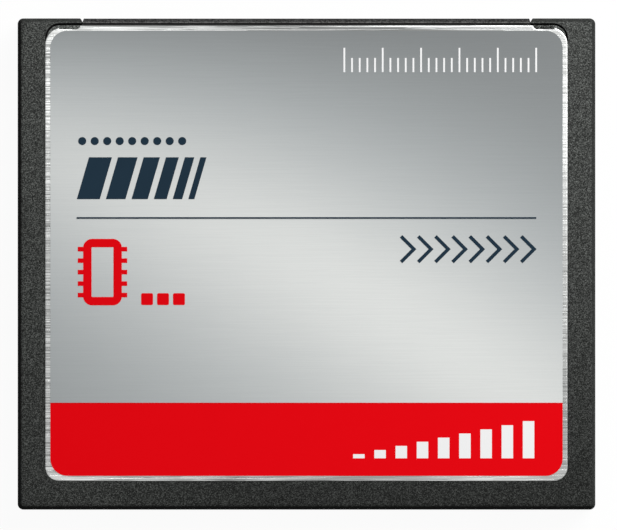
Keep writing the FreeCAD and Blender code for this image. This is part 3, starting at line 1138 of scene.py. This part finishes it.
@dataclass
class MouldedCard:
    """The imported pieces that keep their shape: each is dressed by its record slot."""

    band: str = "label_red_band"

    def dress(self) -> None:
        """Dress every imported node, the hidden ones too, and the band in its own ink."""
        for part in frame["record"]["subparts"]:
            paint(frame["nodes"][part["node"]], FINISHES[Slot(part["material_slot"])])
            log.info("%s: dressed as %s", part["node"], part["material_slot"])
        paint(frame["nodes"][self.band], BAND_INK)


@dataclass
class SteelCover:
    """A pressed cover: a panel with a rounded edge, flanges on three sides and a tab.

    Beside the tab a shallow relief is cut in the front edge.
    """

    side: Side
    rear_radius: float = 1.05
    front_radius: float = 1.35
    front_drop: float = 0.12
    edge_round: float = 0.13
    edge_flat: float = 0.02
    edge_break: float = 0.03
    sheet: float = 0.20
    flange: float = 0.70
    flange_setback: float = 1.60
    flange_end: float = 0.02
    front_lip: float = 0.002
    tab_step: float = 0.26
    tab_half: float = 16.79
    relief: float = 1.51
    round_steps: int = 6
    relief_steps: int = 4
    sharp_angle: float = 40.0

    def outline(self, low: np.ndarray, high: np.ndarray) -> np.ndarray:
        """Return the panel's outline, anticlockwise from its rear edge.

        The right half is worked out, and the left half is its mirror image.

        Args:
            low: Lowest corner of the cover.
            high: Highest corner of the cover.

        Returns:
            Points as rows of X, Y.
        """
        half_width, rear, front = high[0], low[1], high[1]
        r, brow, step = self.rear_radius, self.front_radius, self.tab_step
        relief_x = self.tab_half + self.relief
        meet = math.degrees(math.acos((relief_x - half_width + brow) / brow))
        flange_end = front - step - self.flange_setback
        near = np.array([[0.0, -self.flange_end], [0.0, self.flange_end]])
        right = [
            arc(half_width - r, rear + r, r, -90, 0),
            np.array([[half_width, flange_end]]) + near,
            arc(half_width - brow, front - self.front_drop - brow, brow, 0, meet),
            np.array([[relief_x, front - step]]),
            arc(self.tab_half + step, front, step, 270, 180, self.relief_steps),
        ]
        half = np.concatenate(right)
        return np.concatenate([half, half[::-1] * (-1.0, 1.0)])

    def build(self) -> bpy.types.Object:
        """Make the cover.

        The profile runs from the panel over a quarter round, down the flange, across
        its edge, up its inside and over the underside. It is carried round the
        outline, and the flange is only as deep as the sheet along the front.

        Returns:
            The cover's piece.
        """
        node = f"{self.side.name.lower()}_cover"
        low, high = span(node)
        up = self.side.value
        face = high[2] if self.side is Side.TOP else low[2]
        outline = self.outline(low, high)
        flange_front = high[1] - self.tab_step - self.flange_setback
        lip = self.sheet + self.front_lip
        depth = np.where(outline[:, 1] < flange_front, self.flange, lip)
        turn = np.radians(np.linspace(90.0, 0.0, self.round_steps))
        r = self.edge_round
        rings = [at_height(inset(outline, r + self.edge_flat), face)]
        for sine, cosine in zip(np.sin(turn), np.cos(turn)):
            rings.append(at_height(inset(outline, r - r * cosine), face - up * r * (1 - sine)))
        rings.append(at_height(outline, face - up * (depth - self.edge_break)))
        rings.append(at_height(inset(outline, self.edge_break), face - up * depth))
        rings.append(at_height(inset(outline, self.sheet), face - up * depth))
        rings.append(at_height(inset(outline, self.sheet), face - up * self.sheet))
        solid = Solid()
        solid.add_loft(np.stack(rings))
        piece = solid.piece(f"{node}_panel", Slot.STEEL, self.sharp_angle)
        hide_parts(node)
        return piece


@dataclass
class LedgeFlash:
    """Thin lumps of plastic that the mould left on the ledge at the right front corner.

    Each lump has its middle in X, half its length, and its height above the ledge. Each
    wave of its outline has its rise, its number round the lump, and its shift for each
    millimetre of the middle, so no two lumps are alike.
    """

    lumps: tuple[Triple, ...] = ((16.98, 0.24, 0.10), (17.70, 0.36, 0.085), (18.14, 0.09, 0.07))
    rear: float = 17.42
    front: float = 17.67
    ledge: float = 3.05
    around: int = 48
    rows: int = 8
    crown: float = 0.98
    waves: tuple[Triple, ...] = ((0.10, 3.0, 1.0), (0.06, 5.0, 2.0))
    sharp_angle: float = 50.0

    def lump(self, solid: Solid, middle: float, half: float, height: float) -> None:
        """Add one lump.

        It is half of a flattened ball. Angle u goes round it and v from the ledge to its
        top, and its half widths swell by the sine waves of u.

        Args:
            solid: Where the lump goes.
            middle: Its middle in X.
            half: Half its length.
            height: How far it stands above the ledge.
        """
        u = np.linspace(0.0, 2 * math.pi, self.around, endpoint=False)[None, :]
        v = np.linspace(0.0, math.pi / 2, self.rows)[:, None]
        swell = np.ones_like(u)
        for rise, number, shift in self.waves:
            swell = swell + rise * np.sin(number * u + shift * middle)
        centre = (self.rear + self.front) / 2
        reach = (self.front - self.rear) / 2
        x = middle + half * swell * np.cos(u) * np.cos(v * self.crown)
        y = centre + reach * swell * np.sin(u) * np.cos(v * self.crown)
        z = self.ledge + height * np.sin(v) * np.ones_like(u)
        solid.add_loft(np.stack([x, y, z], axis=-1))

    def build(self) -> bpy.types.Object:
        """Make the lumps.

        Returns:
            The lumps as one piece.
        """
        solid = Solid()
        for lump in self.lumps:
            self.lump(solid, *lump)
        return solid.piece("ledge_flash", Slot.FRAME, self.sharp_angle)


@dataclass
class LabelPrint:
    """Plain shapes printed on the silver label, each a thin coat on its face.

    Rows hold their first and last X. Other pairs are what their names say.
    """

    coat: float = 0.012
    tick_row: Pair = (2.80, 17.00)
    tick_count: int = 26
    tick_group: int = 5
    tick_foot: float = 14.20
    tick_lengths: Pair = (1.05, 1.80)
    tick_width: float = 0.13
    dot_row_ends: Pair = (-16.60, -9.20)
    dot_count: int = 9
    dot_y: float = 9.10
    dot_radius: float = 0.30
    dot_sides: int = 24
    bar_left: float = -17.00
    bar_lean: float = 0.90
    bar_gap: float = 0.45
    bar_heights: Pair = (4.80, 7.90)
    bar_widths: Pair = (1.70, 0.45)
    bar_count: int = 6
    chip_centre: Pair = (-15.10, -0.60)
    chip_half: Pair = (1.12, 2.15)
    chip_line: float = 0.62
    chip_radius: float = 0.35
    lead_rows: Pair = (-2.30, 1.10)
    lead_reaches: tuple[Pair, Pair] = ((-16.93, -16.53), (-13.67, -13.27))
    lead_count: int = 5
    lead_width: float = 0.34
    square_row: Triple = (-11.80, -10.62, -9.44)
    square_y: float = -2.60
    square_half: float = 0.44
    square_radius: float = 0.12
    chevron_row: Pair = (7.00, 15.90)
    chevron_count: int = 8
    chevron_reach: float = 0.95
    chevron_heights: Triple = (2.05, 1.10, 0.15)
    chevron_width: float = 0.26
    face: float = field(init=False)

    def __post_init__(self) -> None:
        """Read the label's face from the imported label."""
        self.face = float(span("label")[1][2])

    @property
    def coat_heights(self) -> Pair:
        """Height of the coat's two faces."""
        return self.face, self.face + self.coat

    def scale_ticks(self) -> bpy.types.Object:
        """Print a fine white scale of upright ticks, with a long one for each group.

        Returns:
            The printed piece.
        """
        solid = Solid()
        short, long = self.tick_lengths
        length = np.where(np.arange(self.tick_count) % self.tick_group == 0, long, short)
        for x, reach in zip(np.linspace(*self.tick_row, self.tick_count), length):
            path = np.array([[x, self.tick_foot], [x, self.tick_foot + reach]])
            add_stroke(solid, path, self.tick_width, *self.coat_heights)
        return solid.piece("print_scale_ticks", Slot.WHITE)

    def dot_row(self) -> bpy.types.Object:
        """Print a row of small navy dots.

        Returns:
            The printed piece.
        """
        solid = Solid()
        last = 360 - 360 / self.dot_sides
        for x in np.linspace(*self.dot_row_ends, self.dot_count):
            dot = arc(x, self.dot_y, self.dot_radius, 0, last, self.dot_sides)
            add_plaque(solid, dot, *self.coat_heights)
        return solid.piece("print_dot_row", Slot.NAVY)

    def slanted_bars(self) -> bpy.types.Object:
        """Print bold navy bars that lean forward and get narrower.

        Returns:
            The printed piece.
        """
        solid = Solid()
        left, lean = self.bar_left, self.bar_lean
        low, high = self.bar_heights
        for width in np.linspace(*self.bar_widths, self.bar_count):
            right = left + width
            outline = [[left, low], [right, low], [right + lean, high], [left + lean, high]]
            add_plaque(solid, np.array(outline), *self.coat_heights)
            left += width + self.bar_gap
        return solid.piece("print_slanted_bars", Slot.NAVY)

    def chip_sign(self) -> bpy.types.Object:
        """Print a red outline of a chip with its leads, and three red squares.

        Returns:
            The printed piece.
        """
        solid = Solid()
        body = rounded_rectangle(*self.chip_centre, *self.chip_half, self.chip_radius)
        add_stroke(solid, body, self.chip_line, *self.coat_heights, closed=True)
        for y in np.linspace(*self.lead_rows, self.lead_count):
            for x0, x1 in self.lead_reaches:
                path = np.array([[x0, y], [x1, y]])
                add_stroke(solid, path, self.lead_width, *self.coat_heights)
        half, radius = self.square_half, self.square_radius
        for x in self.square_row:
            square = rounded_rectangle(x, self.square_y, half, half, radius)
            add_plaque(solid, square, *self.coat_heights)
        return solid.piece("print_chip_sign", Slot.RED)

    def chevrons(self) -> bpy.types.Object:
        """Print a row of thin navy chevrons that point to the right.

        Returns:
            The printed piece.
        """
        solid = Solid()
        top, middle, foot = self.chevron_heights
        for x in np.linspace(*self.chevron_row, self.chevron_count):
            path = np.array([[x, top], [x + self.chevron_reach, middle], [x, foot]])
            add_stroke(solid, path, self.chevron_width, *self.coat_heights)
        return solid.piece("print_chevrons", Slot.NAVY)

    def build(self) -> None:
        """Print every piece."""
        self.scale_ticks()
        self.dot_row()
        self.slanted_bars()
        self.chip_sign()
        self.chevrons()


# The studio


@dataclass
class Studio:
    """A white floor, soft light from the upper right and a camera straight above."""

    floor_radii: tuple[float, ...] = (30.0, 120.0, 400.0, 900.0)
    floor_sides: int = 64
    floor_drop: float = 0.01
    floor_tone: float = 0.05
    fill: float = 0.15
    key_power: float = 1.97
    key_place: Triple = (190.0, 215.0, 190.0)
    key_size: float = 340.0
    clip: Pair = (10.0, 10000.0)
    lens: float = 400.0
    sensor: float = 36.0
    picture_width: float = 45.70
    picture_centre: Pair = (0.148, -0.074)
    focus_height: float = 2.95

    def seen_by_eye_or_gloss(self, graph: Graph) -> Socket:
        """Return 1 for rays from the camera, from gloss and through glass.

        Args:
            graph: Graph of the floor's or the world's tree.

        Returns:
            The mask.
        """
        path = graph.add("LightPath").outputs
        either = graph.math("MAXIMUM", path["Is Camera Ray"], path["Is Glossy Ray"])
        return graph.math("MAXIMUM", either, path["Is Transmission Ray"])

    def floor_material(self) -> bpy.types.Material:
        """Make a dull floor that looks white and throws little light on the card.

        Returns:
            The material.
        """
        material = bpy.data.materials.new("studio_floor")
        material.use_nodes = True
        graph = Graph(material.node_tree)
        shader = material.node_tree.nodes["Principled BSDF"]
        shader.inputs["Base Color"].default_value = opaque((self.floor_tone,) * 3)
        shader.inputs["Roughness"].default_value = 1.0
        shader.inputs["Specular IOR Level"].default_value = 0.0
        shader.inputs["Emission Color"].default_value = opaque((1.0, 1.0, 1.0))
        glow = graph.times(self.seen_by_eye_or_gloss(graph), 1.0 - self.floor_tone)
        graph.join(glow, shader.inputs["Emission Strength"])
        return material

    def floor(self) -> None:
        """Lay a round floor just under the card: rings of a circle at growing radius."""
        angle = np.linspace(0.0, 2 * math.pi, self.floor_sides, endpoint=False)
        circle = np.stack([np.cos(angle), np.sin(angle)], axis=-1)
        radii = np.array(self.floor_radii)
        rings = (radii[:, None, None] * circle[None]).reshape(-1, 2)
        solid = Solid()
        middle = np.arange(self.floor_sides)[None, :]
        quads = band_quads(len(radii), self.floor_sides)
        solid.add(at_height(rings, -self.floor_drop), quads, middle)
        mesh = solid.mesh("studio_floor")
        if mesh.polygons[0].normal.z < 0:
            mesh.flip_normals()
        mesh.materials.append(self.floor_material())
        made = add_object("studio_floor", mesh)

    def world(self) -> None:
        """Fill from all round, and show white where the world itself is seen."""
        world = bpy.data.worlds.new("studio_world")
        bpy.context.scene.world = world
        world.use_nodes = True
        graph = Graph(world.node_tree)
        back = world.node_tree.nodes["Background"]
        back.inputs["Color"].default_value = opaque((1.0, 1.0, 1.0))
        seen = self.seen_by_eye_or_gloss(graph)
        graph.join(graph.ramp(seen, 0.0, 1.0, self.fill, 1.0), back.inputs["Strength"])

    def lamp(self) -> None:
        """Hang the large soft key lamp at the upper right, aimed at the card."""
        data = bpy.data.lights.new("key_softbox", "AREA")
        data.shape = "DISK"
        data.size = self.key_size * MM
        data.energy = self.key_power
        made = add_object("key_softbox", data)
        x, y, z = place = np.array(self.key_place) * MM
        made.location = place
        made.rotation_euler = (math.atan2(math.hypot(x, y), z), 0.0, math.atan2(x, -y))

    def camera(self) -> None:
        """Hang the camera straight above, so far up that the picture is as wide as asked."""
        data = bpy.data.cameras.new("camera")
        data.lens = self.lens
        data.sensor_width = self.sensor
        data.clip_start, data.clip_end = metres(self.clip)
        made = add_object("camera", data)
        distance = self.picture_width * self.lens / self.sensor
        made.location = np.array([*self.picture_centre, self.focus_height + distance]) * MM
        bpy.context.scene.camera = made

    def build(self) -> None:
        """Set up the floor, the world, the lamp, the camera and the view."""
        self.floor()
        self.world()
        self.lamp()
        self.camera()
        bpy.context.scene.view_settings.view_transform = "Standard"


def corners(box: tuple[Triple, Triple]) -> list[list[float]]:
    """Return a box's two corners as plain lists."""
    return [[float(number) for number in corner] for corner in box]


def main() -> None:
    """Build the studio and the card's pieces in order."""
    logging.basicConfig(level=logging.INFO, format="%(name)s %(message)s")
    Studio().build()
    MouldedCard().dress()
    for side in Side:
        SteelCover(side).build()
    LedgeFlash().build()
    LabelPrint().build()


if __name__ == "__main__":
    main()
